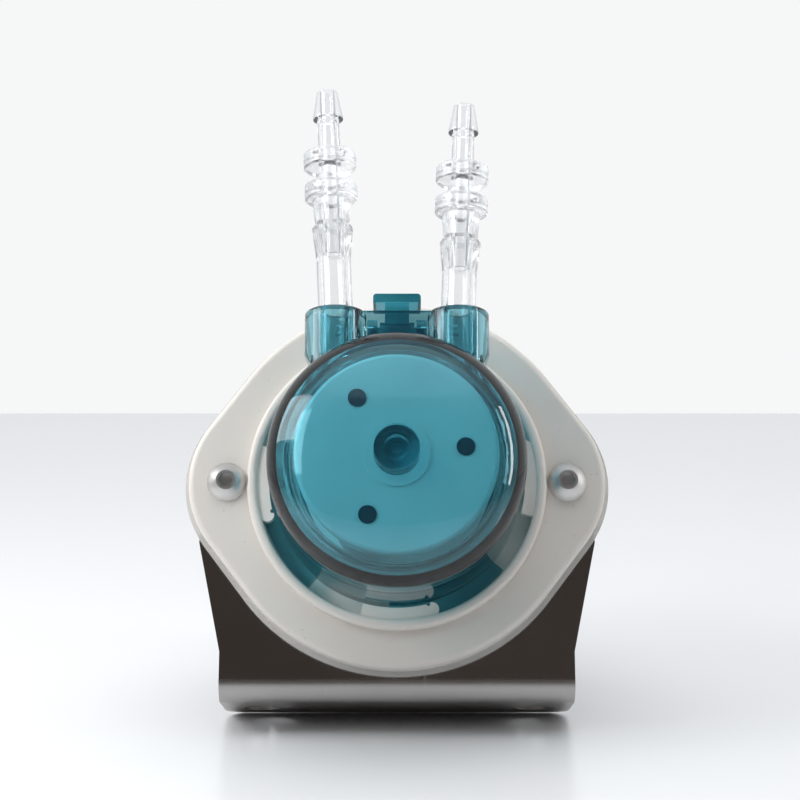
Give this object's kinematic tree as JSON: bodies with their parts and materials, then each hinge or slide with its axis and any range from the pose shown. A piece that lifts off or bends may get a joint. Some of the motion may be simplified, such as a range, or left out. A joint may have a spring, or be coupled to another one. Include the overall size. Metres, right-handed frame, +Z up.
{
  "type": "peristaltic pump",
  "caption": "Small peristaltic pump: clear teal quick-release roller head on a white flange, steel angle bracket, stepper motor and barbed tube connectors.",
  "frame": {"origin": "midway between the two foot holes on the foot's underside", "axes": "+X to the right seen from the front, +Y back towards the motor, +Z up"},
  "size_m": [0.062, 0.0689, 0.088],
  "materials": {
    "stainless_steel": "polished",
    "gasket_silicone": "satin",
    "white_plastic": "satin",
    "screw_steel": "polished",
    "motor_aluminium": "cast",
    "motor_lamination": "satin",
    "copper_wire": "enamelled",
    "bearing_steel": "ground",
    "magnet": "plated",
    "socket_plastic": "satin",
    "contact_tin": "plated",
    "rotor_plastic": "satin",
    "roller_plastic": "smooth",
    "teal_clear_plastic": "clear",
    "tube_clear": "clear",
    "connector_clear": "clear"
  },
  "bodies": {
    "root": {"bracket": "stainless_steel", "gasket": "gasket_silicone", "mounting_flange": "white_plastic", "flange_screws": "screw_steel", "flange_washers": "screw_steel", "flange_nuts": "screw_steel", "motor_mount_screws": "screw_steel", "motor_front_cap": "motor_aluminium", "motor_stator": "motor_lamination", "stator_coils": "copper_wire", "motor_rear_cap": "motor_aluminium", "motor_tie_screws": "screw_steel", "bearing_outer_rings": "bearing_steel", "bearing_balls": "bearing_steel", "wave_washer": "bearing_steel", "motor_socket": "socket_plastic", "motor_socket_pins": "contact_tin"},
    "rotor": {"motor_shaft": "bearing_steel", "bearing_inner_rings": "bearing_steel", "rotor_core_front": "motor_lamination", "rotor_core_rear": "motor_lamination", "rotor_magnet": "magnet", "rotor_carrier": "rotor_plastic", "rotor_front_plate": "rotor_plastic", "roller_pins": "bearing_steel"},
    "roller_1": {"roller_1": "roller_plastic"},
    "roller_2": {"roller_2": "roller_plastic"},
    "roller_3": {"roller_3": "roller_plastic"},
    "cartridge": {"cartridge_housing": "teal_clear_plastic", "cartridge_cover": "teal_clear_plastic", "pump_tube": "tube_clear", "left_connector": "connector_clear", "right_connector": "connector_clear"},
    "release_tab": {"release_tab": "teal_clear_plastic"}
  },
  "joints": [
    {"name": "cartridge_turn", "type": "hinge", "parent": "root", "child": "cartridge", "pos_m": [0, -0.01, 0.031], "axis": [0, -1, 0], "range_deg": [0, 22.5]},
    {"name": "tab_press", "type": "hinge", "parent": "cartridge", "child": "release_tab", "pos_m": [0, -0.019, 0.052], "axis": [1, 0, 0], "range_deg": [0, 14.5]},
    {"name": "rotor_spin", "type": "hinge", "parent": "root", "child": "rotor", "pos_m": [0, -0.01, 0.031], "axis": [0, -1, 0], "continuous": true},
    {"name": "roller_1_spin", "type": "hinge", "parent": "rotor", "child": "roller_1", "pos_m": [0.00926, -0.023, 0.03184], "axis": [0, -1, 0], "continuous": true},
    {"name": "roller_2_spin", "type": "hinge", "parent": "rotor", "child": "roller_2", "pos_m": [-0.00536, -0.023, 0.0386], "axis": [0, -1, 0], "continuous": true},
    {"name": "roller_3_spin", "type": "hinge", "parent": "rotor", "child": "roller_3", "pos_m": [-0.0039, -0.023, 0.02256], "axis": [0, -1, 0], "continuous": true}
  ],
  "couplings": [
    {"joint": "tab_press", "follows": "cartridge_turn", "ratio": 0.62222},
    {"joint": "roller_1_spin", "follows": "rotor_spin", "ratio": -3.0667},
    {"joint": "roller_2_spin", "follows": "rotor_spin", "ratio": -3.0667},
    {"joint": "roller_3_spin", "follows": "rotor_spin", "ratio": -3.0667}
  ]
}
